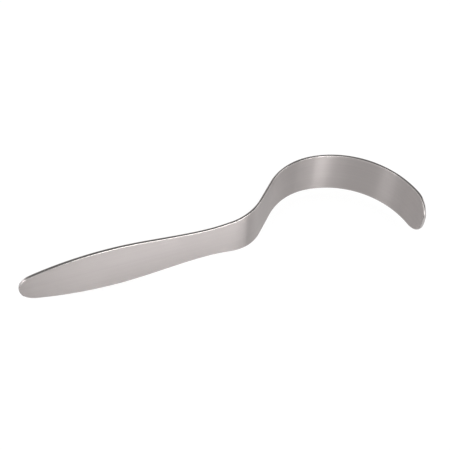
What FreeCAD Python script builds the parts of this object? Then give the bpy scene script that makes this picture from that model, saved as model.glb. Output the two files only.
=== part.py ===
import FreeCAD, Part
import math
import os

# Handheld surgical retractor: a single strip of stainless steel, in millimetres.
# The blank is cut from tapered strip to a flat outline, leaf shaped at the grip and round
# at the tip. It is then bent about its width into a straight grip, a short rise and a
# hook, and every edge is rounded over.
# Here it stands on one long edge: the width of the strip runs up Z, the grip runs along X
# and all of the bends lie in the XY plane.

# Bends of the strip's middle layer, in order from the butt of the grip to the tip
grip_run = 159.0
rise_radius = 36.6
rise_angle = 46.4
neck_run = 21.2
crown_radius = 50.1
crown_angle = 50.1
hook_radius = 68.9
hook_angle = 91.6

# Thickness of the strip: it tapers along the grip and stays the same from there to the tip
butt_thickness = 2.4
blade_thickness = 2.0

# Outline of the flat blank: places are measured along the strip from the butt
butt_radius = 13.8
flare_angle = 16.4
grip_place = 69.0
grip_width = 43.2
waist_place = 141.0
waist_width = 31.8
crown_place = 186.0
crown_width = 41.4
blade_place = 240.0
blade_width = 38.8
blade_taper = 0.8
tip_round = 16.5

# Rounding of the long edges, which never takes the whole thickness
edge_radius = 0.8
edge_share_of_thickness = 0.45

# How closely curves follow the bends, how long one face of the rim is, and how far the
# rim's band and the untrimmed block overshoot the strip
point_spacing = 6.0
rim_face_length = 55.0
overshoot = 4.0

# Stretches of the middle layer as (length, change of heading)
bends = [
    (grip_run, 0.0),
    (rise_radius * math.radians(rise_angle), math.radians(rise_angle)),
    (neck_run, 0.0),
    (crown_radius * math.radians(crown_angle), -math.radians(crown_angle)),
    (hook_radius * math.radians(hook_angle), -math.radians(hook_angle)),
]
strip_length = sum(length for length, turn in bends)

# Width left where the round tip begins
tip_width = blade_width - blade_taper


def middle_layer(distance):
    """Point and heading of the bent middle layer at a distance along the strip."""
    x, y, heading = 0.0, 0.0, 0.0
    left = distance
    for number, (length, turn) in enumerate(bends):
        last = number == len(bends) - 1
        step = left if last else min(left, length)
        swing = turn * step / length
        chord = step if abs(swing) < 1e-9 else 2.0 * step * math.sin(swing / 2.0) / swing
        x += chord * math.cos(heading + swing / 2.0)
        y += chord * math.sin(heading + swing / 2.0)
        heading += swing
        left -= step
        if left <= 0.0:
            break
    return x, y, heading


def thickness(distance):
    """Thickness of the strip, which tapers along the grip and not beyond it."""
    share = min(distance / grip_run, 1.0)
    return butt_thickness + (blade_thickness - butt_thickness) * share


def wrapped(distance, depth, height):
    """A point of the blank after bending: depth is across the strip's thickness."""
    x, y, heading = middle_layer(distance)
    return FreeCAD.Vector(x - depth * math.sin(heading), y + depth * math.cos(heading), height)


def butt_arc():
    """Round butt in the flat blank, from its foremost point to where the flank leaves."""
    flare = math.radians(flare_angle)
    points = []
    for swing in (0.0, (math.pi / 2.0 - flare) / 2.0, math.pi / 2.0 - flare):
        points.append(
            FreeCAD.Vector(1.0 - math.cos(swing), math.sin(swing), 0) * butt_radius
        )
    return Part.Arc(*points).toShape()


def tip_oval():
    """A quarter of the round tip in the flat blank: a quarter circle stretched to size."""
    eighth = math.sqrt(0.5)
    quarter = Part.Arc(
        FreeCAD.Vector(0, 1, 0), FreeCAD.Vector(eighth, eighth, 0), FreeCAD.Vector(1, 0, 0)
    )
    stretch = FreeCAD.Matrix()
    stretch.scale(tip_round, tip_width / 2.0, 1)
    stretch.move(strip_length - tip_round, 0, 0)
    return quarter.toShape().transformGeometry(stretch)


def flank_span(start, start_slope, end, end_slope):
    """One smooth stretch of the blank's long edge, with a slope given at each end."""
    third = (end.x - start.x) / 3.0
    curve = Part.BezierCurve()
    curve.setPoles([
        start,
        start + FreeCAD.Vector(1, start_slope, 0) * third,
        end - FreeCAD.Vector(1, end_slope, 0) * third,
        end,
    ])
    return curve.toShape()


def flat_upper_outline():
    """Upper half of the flat blank: round butt, leaf, waist, crown, blade and round tip."""
    butt = butt_arc()
    butt_end = butt.Vertexes[1].Point
    grip = FreeCAD.Vector(grip_place, grip_width / 2.0, 0)
    waist = FreeCAD.Vector(waist_place, waist_width / 2.0, 0)
    crown = FreeCAD.Vector(crown_place, crown_width / 2.0, 0)
    blade = FreeCAD.Vector(blade_place, blade_width / 2.0, 0)
    tip = FreeCAD.Vector(strip_length - tip_round, tip_width / 2.0, 0)
    flare_slope = math.tan(math.radians(flare_angle))
    blade_slope = (tip.y - blade.y) / (tip.x - blade.x)
    return Part.Wire([
        butt,
        flank_span(butt_end, flare_slope, grip, 0.0),
        flank_span(grip, 0.0, waist, 0.0),
        flank_span(waist, 0.0, crown, 0.0),
        flank_span(crown, 0.0, blade, blade_slope),
        Part.makeLine(blade, tip),
        tip_oval(),
    ])


def rim_bands():
    """Ruled faces that stand on the whole outline and pass right through the strip."""
    wire = flat_upper_outline()
    upper = wire.discretize(Number=2 * round(wire.Length / point_spacing))
    outline = upper + [FreeCAD.Vector(p.x, -p.y, 0) for p in reversed(upper[1:-1])]
    reach = butt_thickness / 2.0 + overshoot
    rails = []
    for depth in (-reach, reach):
        rail = Part.BSplineCurve()
        rail.interpolate(
            Points=[wrapped(p.x, depth, p.y) for p in outline],
            Parameters=[float(n) for n in range(len(outline) + 1)],
            PeriodicFlag=True,
        )
        rails.append(rail)
    faces = round(2.0 * wire.Length / rim_face_length)
    cuts = [len(outline) * n / faces for n in range(faces + 1)]
    return [
        Part.makeRuledSurface(rails[0].toShape(first, last), rails[1].toShape(first, last))
        for first, last in zip(cuts, cuts[1:])
    ]


def broad_face_edges(side):
    """Line and arc edges of the bent profile on one side, run past both ends."""
    edges = []
    start = 0.0
    for number, (length, turn) in enumerate(bends):
        first = start - overshoot if number == 0 else start
        start += length
        last = start + overshoot if number == len(bends) - 1 else start
        ends_and_middle = [
            wrapped(distance, side * thickness(distance) / 2.0, 0)
            for distance in (first, (first + last) / 2.0, last)
        ]
        if turn:
            edges.append(Part.Arc(*ends_and_middle).toShape())
        else:
            edges.append(Part.makeLine(ends_and_middle[0], ends_and_middle[2]))
    return edges


def bent_block():
    """The bent strip before it has an outline: its tapered profile, run up its width."""
    near = broad_face_edges(-1.0)
    far = broad_face_edges(1.0)
    butt_end = Part.makeLine(near[0].Vertexes[0].Point, far[0].Vertexes[0].Point)
    tip_end = Part.makeLine(near[-1].Vertexes[-1].Point, far[-1].Vertexes[-1].Point)
    loop = Part.__sortEdges__(near + [tip_end] + far + [butt_end])
    profile = Part.Face(Part.Wire(loop))
    height = max(grip_width, crown_width, blade_width) + 2.0 * overshoot
    profile.translate(FreeCAD.Vector(0, 0, -height / 2.0))
    return profile.extrude(FreeCAD.Vector(0, 0, height))


def retractor():
    """Trim the bent block to the wrapped outline and round its long edges."""
    pieces, _ = bent_block().generalFuse(rim_bands())
    heart = wrapped(strip_length / 2.0, 0, 0)
    strip = [s for s in pieces.Solids if s.isInside(heart, 1e-3, False)][0]
    rim_edges = []
    for edge in strip.Edges:
        on_rim = [
            isinstance(face.Surface, Part.BSplineSurface)
            for face in strip.ancestorsOfType(edge, Part.Face)
        ]
        if any(on_rim) and not all(on_rim):
            rim_edges.append(edge)
    radius = min(edge_radius, edge_share_of_thickness * min(butt_thickness, blade_thickness))
    return strip.makeFillet(radius, rim_edges).Solids[0]


def stood_on_edge(shape):
    """Move the part so that its origin is under the middle of its box, on the ground."""
    box = shape.optimalBoundingBox(True, False)
    shape.translate(FreeCAD.Vector(-box.Center.x, -box.Center.y, -box.ZMin))
    return shape


os.makedirs("parts", exist_ok=True)
stood_on_edge(retractor()).exportStep("parts/retractor.step")
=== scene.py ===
import math

import bpy
from mathutils import Matrix, Vector


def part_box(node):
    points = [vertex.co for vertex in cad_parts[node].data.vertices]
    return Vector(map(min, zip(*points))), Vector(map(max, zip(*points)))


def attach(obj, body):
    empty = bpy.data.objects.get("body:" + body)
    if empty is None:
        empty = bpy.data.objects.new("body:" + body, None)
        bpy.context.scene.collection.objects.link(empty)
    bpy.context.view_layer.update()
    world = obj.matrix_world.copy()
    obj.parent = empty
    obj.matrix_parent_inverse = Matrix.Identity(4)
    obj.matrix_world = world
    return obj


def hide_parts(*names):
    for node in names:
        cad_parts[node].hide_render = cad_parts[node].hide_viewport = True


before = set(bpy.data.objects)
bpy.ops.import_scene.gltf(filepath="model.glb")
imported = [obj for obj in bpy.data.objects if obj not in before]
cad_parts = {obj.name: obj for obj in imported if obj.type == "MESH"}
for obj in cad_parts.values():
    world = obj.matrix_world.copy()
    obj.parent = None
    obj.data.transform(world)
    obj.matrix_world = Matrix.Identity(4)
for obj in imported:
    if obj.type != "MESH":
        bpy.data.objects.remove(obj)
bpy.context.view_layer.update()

# The strip: the whole retractor is one length of stainless steel, tapered in thickness along
# the grip. It is blanked to a leaf shaped grip and a round ended blade, bent about its width
# on formers, brushed lengthwise to a satin, and ground round and polished along its edges.
GRIP_RUN = 0.1590
RISE_RADIUS = 0.0366
RISE_ANGLE = 46.4
NECK_RUN = 0.0212
CROWN_RADIUS = 0.0501
CROWN_ANGLE = 50.1
HOOK_RADIUS = 0.0689
HOOK_ANGLE = 91.6
BUTT_THICKNESS = 0.0024
BLADE_THICKNESS = 0.0020
BUTT_RADIUS = 0.0138
FLARE_ANGLE = 16.4
GRIP_PLACE = 0.0690
GRIP_WIDTH = 0.0432
WAIST_PLACE = 0.1410
WAIST_WIDTH = 0.0318
CROWN_PLACE = 0.1860
CROWN_WIDTH = 0.0414
BLADE_PLACE = 0.2400
BLADE_WIDTH = 0.0388
TIP_WIDTH = 0.0380
TIP_LENGTH = 0.0165
EDGE_RADIUS = 0.0008

# Bends of the middle layer in order from the butt, as length and change of heading
STRETCHES = [
    (GRIP_RUN, 0.0),
    (RISE_RADIUS * math.radians(RISE_ANGLE), math.radians(RISE_ANGLE)),
    (NECK_RUN, 0.0),
    (CROWN_RADIUS * math.radians(CROWN_ANGLE), -math.radians(CROWN_ANGLE)),
    (HOOK_RADIUS * math.radians(HOOK_ANGLE), -math.radians(HOOK_ANGLE)),
]
STRIP_LENGTH = sum(length for length, turn in STRETCHES)

# Flanks of the flat blank: place along the strip, half width and slope at each corner
flare = math.radians(FLARE_ANGLE)
tip_start = STRIP_LENGTH - TIP_LENGTH
blade_slope = (TIP_WIDTH - BLADE_WIDTH) / 2 / (tip_start - BLADE_PLACE)
FLANK = [
    (BUTT_RADIUS * (1 - math.sin(flare)), BUTT_RADIUS * math.cos(flare), math.tan(flare)),
    (GRIP_PLACE, GRIP_WIDTH / 2, 0.0),
    (WAIST_PLACE, WAIST_WIDTH / 2, 0.0),
    (CROWN_PLACE, CROWN_WIDTH / 2, 0.0),
    (BLADE_PLACE, BLADE_WIDTH / 2, blade_slope),
    (tip_start, TIP_WIDTH / 2, blade_slope),
]


def middle_layer(place):
    """Point and heading of the strip's middle layer at a place, from the butt at 0, 0."""
    point = Vector((0.0, 0.0, 0.0))
    heading = 0.0
    left = place
    for number, (length, turn) in enumerate(STRETCHES):
        step = left if number == len(STRETCHES) - 1 else min(left, length)
        swing = turn * step / length
        chord = 2 * step * math.sin(swing / 2) / swing if turn else step
        point += chord * Vector((math.cos(heading + swing / 2), math.sin(heading + swing / 2), 0))
        heading += swing
        left -= step
        if left <= 0:
            break
    return point, heading


def flank_half_width(place):
    """Half width of the blank between its two round ends, smooth from corner to corner."""
    for (start, first, first_slope), (end, last, last_slope) in zip(FLANK, FLANK[1:]):
        if place <= end:
            run = end - start
            t = (place - start) / run
            return ((2*t**3 - 3*t**2 + 1) * first + (t**3 - 2*t**2 + t) * run * first_slope
                    + (3*t**2 - 2*t**3) * last + (t**3 - t**2) * run * last_slope)
    return FLANK[-1][1]


# Stations along the strip, each with its half width: they follow the round ends in steps of
# angle, from the edge of a small cap at each, and are evenly spaced between the ends
CAP_SWING = 20
SWING_STEP = 5
STATION_SPACING = 0.0020
stations = []
for swing in range(CAP_SWING, round(90 - FLARE_ANGLE), SWING_STEP):
    turned = math.radians(swing)
    stations.append((BUTT_RADIUS * (1 - math.cos(turned)), BUTT_RADIUS * math.sin(turned)))
flank_length = FLANK[-1][0] - FLANK[0][0]
flank_steps = round(flank_length / STATION_SPACING)
for number in range(flank_steps + 1):
    place = FLANK[0][0] + flank_length * number / flank_steps
    stations.append((place, flank_half_width(place)))
for swing in range(90 - SWING_STEP, CAP_SWING - 1, -SWING_STEP):
    turned = math.radians(swing)
    place = STRIP_LENGTH - TIP_LENGTH * (1 - math.cos(turned))
    stations.append((place, TIP_WIDTH / 2 * math.sin(turned)))

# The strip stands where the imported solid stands: its butt is at the low end of the box, and
# its crown touches the box's far side
low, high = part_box("retractor")
mid_height = (low.z + high.z) / 2
risen = math.radians(RISE_ANGLE)
crown_top = ((RISE_RADIUS + CROWN_RADIUS) * (1 - math.cos(risen)) + NECK_RUN * math.sin(risen)
             + BLADE_THICKNESS / 2)
butt_place = Vector((low.x, high.y - crown_top, mid_height))

# Butt: a segment of a standing disc, whose chord is then drawn out along the strip
HAIR = 0.00001
bpy.ops.object.select_all(action="DESELECT")
bpy.ops.mesh.primitive_circle_add(
    vertices=360 // SWING_STEP, radius=BUTT_RADIUS, fill_type="NOTHING",
    location=butt_place + Vector((BUTT_RADIUS, 0, 0)), rotation=(math.pi / 2, 0, 0),
)
strip = bpy.context.object
strip.name = "retractor_strip"
bpy.ops.object.transform_apply(location=True, rotation=True, scale=True)
strip.vertex_groups.new(name="thickness")
bpy.ops.object.mode_set(mode="EDIT")
bpy.ops.mesh.select_mode(type="VERT")


def choose(wanted, first=0):
    """Selects the strip's points, from the first number on, whose place passes the test."""
    bpy.ops.mesh.select_all(action="DESELECT")
    bpy.ops.object.mode_set(mode="OBJECT")
    for point in strip.data.vertices[first:]:
        point.select = wanted(point.co)
    bpy.ops.object.mode_set(mode="EDIT")


def give_thickness(share):
    """Gives the selected points a share of the butt's thickness."""
    bpy.context.tool_settings.vertex_group_weight = share
    bpy.ops.object.vertex_group_assign()


cap_end = butt_place.x + stations[0][0]
choose(lambda co: co.x > cap_end + HAIR)
bpy.ops.mesh.delete(type="VERT")
bpy.ops.mesh.select_all(action="SELECT")
bpy.ops.mesh.edge_face_add()
give_thickness(1.0)
choose(lambda co: co.x > cap_end - HAIR)

# Strip: the chord is extruded from station to station, and takes each one's width
blade_share = BLADE_THICKNESS / BUTT_THICKNESS
last_place, last_half = stations[0]
last_point = middle_layer(last_place)[0]
for place, half in stations[1:]:
    here = middle_layer(place)[0]
    bpy.ops.mesh.extrude_region_move(TRANSFORM_OT_translate={"value": here - last_point})
    bpy.ops.transform.resize(value=(1, 1, half / last_half), center_override=butt_place + here)
    give_thickness(1 - min(place / GRIP_RUN, 1.0) * (1 - blade_share))
    last_point = here
    last_half = half

# Tip: a segment of a standing oval, joined to the last chord
SEAM = 0.0002
tip_end, tip_heading = middle_layer(STRIP_LENGTH)
along = Vector((math.cos(tip_heading), math.sin(tip_heading), 0))
tip_centre = butt_place + tip_end - along * TIP_LENGTH
chord_reach = TIP_LENGTH * math.cos(math.radians(CAP_SWING))
bpy.ops.object.mode_set(mode="OBJECT")
points_before_tip = len(strip.data.vertices)
bpy.ops.object.mode_set(mode="EDIT")
bpy.ops.mesh.select_all(action="DESELECT")
bpy.ops.mesh.primitive_circle_add(
    vertices=360 // SWING_STEP, radius=TIP_LENGTH, fill_type="NOTHING",
    location=tip_centre, rotation=(math.pi / 2, 0, tip_heading),
)
bpy.ops.transform.resize(value=(1, 1, TIP_WIDTH / 2 / TIP_LENGTH), center_override=tip_centre)
give_thickness(blade_share)


def beyond_tip_centre(co):
    """How far a point lies beyond the oval's centre, along the strip."""
    return (co - tip_centre).dot(along)


choose(lambda co: beyond_tip_centre(co) < chord_reach - HAIR, points_before_tip)
bpy.ops.mesh.delete(type="VERT")
choose(lambda co: beyond_tip_centre(co) > chord_reach - SEAM and (co - tip_centre).length < TIP_WIDTH)
bpy.ops.mesh.remove_doubles(threshold=SEAM)
bpy.ops.mesh.edge_face_add()
bpy.ops.mesh.select_all(action="SELECT")
bpy.ops.mesh.normals_make_consistent(inside=False)
bpy.ops.object.mode_set(mode="OBJECT")


def grain(nodes, links, stretch, detail):
    """Noise on the object's own coordinates, with as many waves to a metre along each axis."""
    place = nodes.new("ShaderNodeTexCoord")
    mapping = nodes.new("ShaderNodeMapping")
    mapping.inputs["Scale"].default_value = stretch
    noise = nodes.new("ShaderNodeTexNoise")
    noise.inputs["Scale"].default_value = 1.0
    noise.inputs["Detail"].default_value = detail
    links.new(place.outputs["Object"], mapping.inputs["Vector"])
    links.new(mapping.outputs["Vector"], noise.inputs["Vector"])
    return noise.outputs["Fac"]


def mapped(nodes, links, value, low_in, high_in, low_out, high_out):
    """A value taken from one range to another, and held between the ends of the second."""
    span = nodes.new("ShaderNodeMapRange")
    span.inputs["From Min"].default_value = low_in
    span.inputs["From Max"].default_value = high_in
    span.inputs["To Min"].default_value = low_out
    span.inputs["To Max"].default_value = high_out
    links.new(value, span.inputs["Value"])
    return span.outputs["Result"]


def spread(nodes, links, noise, low, high):
    """Noise, most of which lies between 0.3 and 0.7, spread over a range."""
    return mapped(nodes, links, noise, 0.3, 0.7, low, high)


def worked(nodes, links, operation, first, second):
    """Two values joined by a sum, difference or product, or the larger of them."""
    join = nodes.new("ShaderNodeMath")
    join.operation = operation
    links.new(first, join.inputs[0])
    links.new(second, join.inputs[1])
    return join.outputs["Value"]


# Satin: fine lines brushed along the strip, which blur what it mirrors up and down only.
# Handling has left it a little cloudy, and rubbed it brighter beside the edges.
BRUSHED_LINES = (16, 16, 3200)
BROAD_STREAKS = (5, 5, 520)
HANDLING_CLOUDS = (26, 26, 34)
SATIN_DARK = (0.350, 0.324, 0.318, 1)
SATIN_LIGHT = (0.392, 0.362, 0.356, 1)
RUBBED_BAND = (0.86, 0.97)
RUBBED_PATCHES = (0.42, 0.62)
STREAK_TONE = 0.55
CLOUD_TONE = 0.30
LINE_TONE = 0.15
RUBBED_TONE = 0.45
CLEAR_ROUGHNESS = 0.300
CLOUDY_ROUGHNESS = 0.335
STREAK_ROUGHNESS = 0.025
RUBBED_SMOOTHNESS = 0.06
BLUR_WANDER = 0.012
LINE_DEPTH = 0.00001
satin = bpy.data.materials.new("satin_steel")
satin.use_nodes = True
nodes, links = satin.node_tree.nodes, satin.node_tree.links
steel = nodes["Principled BSDF"]
steel.inputs["Metallic"].default_value = 1.0
steel.inputs["Anisotropic"].default_value = 1.0
lines = grain(nodes, links, BRUSHED_LINES, 2)
streaks = grain(nodes, links, BROAD_STREAKS, 3)
clouds = grain(nodes, links, HANDLING_CLOUDS, 4)
across = nodes.new("ShaderNodeAttribute")
across.attribute_name = "across"
outward = nodes.new("ShaderNodeMath")
outward.operation = "ABSOLUTE"
links.new(across.outputs["Fac"], outward.inputs[0])
beside_edge = mapped(nodes, links, outward.outputs["Value"], *RUBBED_BAND, 0, 1)
patches = mapped(nodes, links, clouds, *RUBBED_PATCHES, 0, 1)
rubbed = worked(nodes, links, "MULTIPLY", beside_edge, patches)

# Its tone, from dark to light
mottle = spread(nodes, links, streaks, 0, STREAK_TONE)
mottle = worked(nodes, links, "ADD", mottle, spread(nodes, links, clouds, 0, CLOUD_TONE))
mottle = worked(nodes, links, "ADD", mottle, spread(nodes, links, lines, 0, LINE_TONE))
mottle = worked(nodes, links, "ADD", mottle, mapped(nodes, links, rubbed, 0, 1, 0, RUBBED_TONE))
tone = nodes.new("ShaderNodeValToRGB")
tone.color_ramp.elements[0].color = SATIN_DARK
tone.color_ramp.elements[1].position = 1.0
tone.color_ramp.elements[1].color = SATIN_LIGHT
links.new(mottle, tone.inputs["Fac"])
links.new(tone.outputs["Color"], steel.inputs["Base Color"])

# Its roughness, duller where it is cloudy and smoother where it is rubbed
haze = spread(nodes, links, clouds, CLEAR_ROUGHNESS, CLOUDY_ROUGHNESS)
haze = worked(nodes, links, "ADD", haze, spread(nodes, links, streaks, 0, STREAK_ROUGHNESS))
smoothed = mapped(nodes, links, rubbed, 0, 1, 0, RUBBED_SMOOTHNESS)
haze = worked(nodes, links, "SUBTRACT", haze, smoothed)
links.new(haze, steel.inputs["Roughness"])

# The direction of its blur, which wanders a little from straight up, and its scored lines
upright = nodes.new("ShaderNodeCombineXYZ")
upright.inputs["Z"].default_value = 1.0
links.new(spread(nodes, links, streaks, -BLUR_WANDER, BLUR_WANDER), upright.inputs["X"])
links.new(upright.outputs["Vector"], steel.inputs["Tangent"])
scored = nodes.new("ShaderNodeBump")
scored.inputs["Strength"].default_value = 0.4
scored.inputs["Distance"].default_value = LINE_DEPTH
links.new(lines, scored.inputs["Height"])
links.new(scored.outputs["Normal"], steel.inputs["Normal"])

# Polished edge: ground round and buffed bright, with the fine scuffs of use
FINE_SCUFFS = (420, 420, 420)
BUFFING_MARKS = (60, 60, 90)
EDGE_DARK = (0.402, 0.379, 0.373, 1)
EDGE_LIGHT = (0.456, 0.430, 0.422, 1)
BUFFED_ROUGHNESS = 0.13
SCUFFED_ROUGHNESS = 0.22
BUFFING_ROUGHNESS = 0.06
SCUFF_RANGE = (0.35, 0.7)
SCUFF_DEPTH = 0.00003
polished = bpy.data.materials.new("polished_edge")
polished.use_nodes = True
nodes, links = polished.node_tree.nodes, polished.node_tree.links
bright = nodes["Principled BSDF"]
bright.inputs["Metallic"].default_value = 1.0
scuffs = grain(nodes, links, FINE_SCUFFS, 5)
buffing = grain(nodes, links, BUFFING_MARKS, 3)
shine = nodes.new("ShaderNodeValToRGB")
shine.color_ramp.elements[0].position = 0.3
shine.color_ramp.elements[0].color = EDGE_DARK
shine.color_ramp.elements[1].position = 0.7
shine.color_ramp.elements[1].color = EDGE_LIGHT
links.new(buffing, shine.inputs["Fac"])
links.new(shine.outputs["Color"], bright.inputs["Base Color"])
dulled = mapped(nodes, links, scuffs, *SCUFF_RANGE, BUFFED_ROUGHNESS, SCUFFED_ROUGHNESS)
dulled = worked(nodes, links, "ADD", dulled, spread(nodes, links, buffing, 0, BUFFING_ROUGHNESS))
links.new(dulled, bright.inputs["Roughness"])
nicked = nodes.new("ShaderNodeBump")
nicked.inputs["Strength"].default_value = 0.3
nicked.inputs["Distance"].default_value = SCUFF_DEPTH
links.new(scuffs, nicked.inputs["Height"])
links.new(nicked.outputs["Normal"], bright.inputs["Normal"])

strip.data.materials.append(satin)
strip.data.materials.append(polished)

# Thickness: the sheet gets its metal on both sides, and then its round edge
EDGE_SEGMENTS = 6
SHARP_ANGLE = 60
gauge = strip.modifiers.new("gauge", "SOLIDIFY")
gauge.thickness = BUTT_THICKNESS
gauge.offset = 0.0
gauge.use_even_offset = True
gauge.vertex_group = "thickness"
gauge.material_offset_rim = 1
bpy.ops.object.modifier_apply(modifier="gauge")
edge = strip.modifiers.new("round edge", "BEVEL")
edge.width = EDGE_RADIUS
edge.segments = EDGE_SEGMENTS
edge.use_clamp_overlap = False
edge.limit_method = "ANGLE"
edge.angle_limit = math.radians(SHARP_ANGLE)
edge.material = 1
bpy.ops.object.modifier_apply(modifier="round edge")
bpy.ops.object.shade_smooth()
true_faces = strip.modifiers.new("true faces", "WEIGHTED_NORMAL")
true_faces.weight = 50
bpy.ops.object.modifier_apply(modifier="true faces")

# How far out across the width each point lies, for the rubbed bands beside the edges
centre_line = [(butt_place + middle_layer(place)[0], half) for place, half in stations]
across_width = strip.data.attributes.new("across", "FLOAT", "POINT")
for point in strip.data.vertices:
    half = min(centre_line, key=lambda spot: (spot[0].xy - point.co.xy).length)[1]
    across_width.data[point.index].value = (point.co.z - mid_height) / half
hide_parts("retractor")
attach(strip, "root")

# Floor: a plain white table top that glows a little, as a light table does. The camera and
# the metal both see it as white paper, and it keeps a faint shadow.
FLOOR_SIZE = 6
FLOOR_WHITE = (0.85, 0.85, 0.85, 1)
GLOW = 1.08
GLOWING_SHARE = 0.82
bpy.ops.object.select_all(action="DESELECT")
bpy.ops.mesh.primitive_plane_add(size=FLOOR_SIZE, location=(0, 0, 0))
floor = bpy.context.object
floor.name = "floor"
table_top = bpy.data.materials.new("table_top")
table_top.use_nodes = True
nodes, links = table_top.node_tree.nodes, table_top.node_tree.links
nodes.clear()
matt = nodes.new("ShaderNodeBsdfDiffuse")
matt.inputs["Color"].default_value = FLOOR_WHITE
glow = nodes.new("ShaderNodeEmission")
glow.inputs["Strength"].default_value = GLOW
mix = nodes.new("ShaderNodeMixShader")
mix.inputs["Fac"].default_value = GLOWING_SHARE
surface = nodes.new("ShaderNodeOutputMaterial")
links.new(matt.outputs["BSDF"], mix.inputs[1])
links.new(glow.outputs["Emission"], mix.inputs[2])
links.new(mix.outputs["Shader"], surface.inputs["Surface"])
floor.data.materials.append(table_top)

# Room: a white wall, low all round the table and lit more where it rises at the back, with a
# dim ceiling above it. The round edges of the metal mirror the ceiling as their dark line.
# Heights in it are sines of the angle above the table.
WALL_WHITE = 1.0
BACK_LIGHT = 1.5
CEILING_DIM = 0.26
LOW_WALL_FADE = (0.50, 0.30)
HIGH_WALL_FADE = (0.60, 0.45)
BACKWARD = (0.348, 0.937, 0)
BACK_FADE = (0.2, 0.8)
room = bpy.data.worlds.new("room")
bpy.context.scene.world = room
room.use_nodes = True
nodes, links = room.node_tree.nodes, room.node_tree.links
walls = nodes["Background"]
walls.inputs["Color"].default_value = (1, 1, 1, 1)
where = nodes.new("ShaderNodeTexCoord")
height = nodes.new("ShaderNodeSeparateXYZ")
links.new(where.outputs["Generated"], height.inputs["Vector"])
backward = nodes.new("ShaderNodeVectorMath")
backward.operation = "DOT_PRODUCT"
backward.inputs[1].default_value = BACKWARD
links.new(where.outputs["Generated"], backward.inputs[0])
wall_share = (WALL_WHITE - CEILING_DIM) / (BACK_LIGHT - CEILING_DIM)
low_wall = mapped(nodes, links, height.outputs["Z"], *LOW_WALL_FADE, 0, wall_share)
below_top = mapped(nodes, links, height.outputs["Z"], *HIGH_WALL_FADE, 0, 1)
behind = mapped(nodes, links, backward.outputs["Value"], *BACK_FADE, 0, 1)
high_wall = worked(nodes, links, "MULTIPLY", below_top, behind)
wall = worked(nodes, links, "MAXIMUM", high_wall, low_wall)
links.new(mapped(nodes, links, wall, 0, 1, CEILING_DIM, BACK_LIGHT), walls.inputs["Strength"])


def soft_box(name, place, aim, width, height, power, fan=180):
    """A rectangular soft box turned to its aim, unseen by the camera. Its grid sets its fan."""
    data = bpy.data.lights.new(name, "AREA")
    data.shape = "RECTANGLE"
    data.size = width
    data.size_y = height
    data.energy = power
    data.spread = math.radians(fan)
    lamp = bpy.data.objects.new(name, data)
    bpy.context.scene.collection.objects.link(lamp)
    lamp.location = place
    lamp.rotation_euler = (Vector(aim) - Vector(place)).to_track_quat("-Z", "Y").to_euler()
    lamp.visible_camera = False
    return lamp


# Lamps: an even light from overhead, which the metal doesn't mirror, and low soft boxes that
# it does mirror as upright light bands: on the crown, the grip, the rise and, from the left,
# the hook. Boxes behind the butt and high on both sides light the round edges.
overhead = soft_box("overhead", (-0.1, 0, 1.2), (-0.1, 0, 0), 1.8, 1.8, 10.9)
overhead.visible_glossy = False
soft_box("before_crown", (0.1025, -0.160, 0.135), (0.092, 0, 0.135), 0.145, 0.25, 0.088)
soft_box("before_grip", (-0.005, -0.420, 0.085), (-0.062, 0, 0.085), 0.33, 0.15, 0.108, 44)
soft_box("before_rise", (0.200, -0.420, 0.085), (0.014, 0, 0.085), 0.10, 0.15, 0.0088, 20)
soft_box("beside_rise", (0.255, -0.344, 0.085), (0.014, 0, 0.085), 0.10, 0.15, 0.0062, 20)
soft_box("left", (-0.388, -0.173, 0.085), (0.13, 0.012, 0.085), 0.15, 0.15, 0.24)
soft_box("behind_butt", (-0.380, 0.120, 0.060), (-0.15, 0, 0.030), 0.12, 0.10, 0.04)
soft_box("high_left", (-0.85, -0.16, 0.75), (0, 0, 0.02), 0.35, 0.35, 0.2)
soft_box("high_right", (0.80, -0.21, 0.45), (0.05, 0, 0.02), 0.40, 0.30, 1.04)

# Camera: at the photograph's viewing angle, before the grip and high over it. Its angles,
# distance, scale and aim are those at which the strip's outline meets the photograph's.
FRAME_PIXELS = 450
SENSOR_WIDTH = 36
VIEW_AZIMUTH = math.radians(20.3757)
VIEW_ELEVATION = math.radians(51.5115)
VIEW_ROLL = math.radians(2.1714)
VIEW_DISTANCE = 0.552771
PIXELS_PER_METRE = 1323.8250
OFFSET_RIGHT = -0.0027558
OFFSET_DOWN = 0.0063260
forward = Vector((
    math.sin(VIEW_AZIMUTH) * math.cos(VIEW_ELEVATION),
    math.cos(VIEW_AZIMUTH) * math.cos(VIEW_ELEVATION),
    -math.sin(VIEW_ELEVATION),
))
level_right = Vector((math.cos(VIEW_AZIMUTH), -math.sin(VIEW_AZIMUTH), 0))
level_down = forward.cross(level_right)
right = math.cos(VIEW_ROLL) * level_right - math.sin(VIEW_ROLL) * level_down
down = math.sin(VIEW_ROLL) * level_right + math.cos(VIEW_ROLL) * level_down
aim = Vector((0, 0, mid_height)) - OFFSET_RIGHT * right - OFFSET_DOWN * down
eye = aim - VIEW_DISTANCE * forward
camera_data = bpy.data.cameras.new("camera")
camera_data.sensor_width = SENSOR_WIDTH
camera_data.lens = SENSOR_WIDTH * PIXELS_PER_METRE * VIEW_DISTANCE / FRAME_PIXELS
camera = bpy.data.objects.new("camera", camera_data)
bpy.context.scene.collection.objects.link(camera)
camera.matrix_world = Matrix((
    (right.x, -down.x, -forward.x, eye.x),
    (right.y, -down.y, -forward.y, eye.y),
    (right.z, -down.z, -forward.z, eye.z),
    (0, 0, 0, 1),
))
bpy.context.scene.camera = camera
bpy.context.scene.view_settings.view_transform = "Standard"
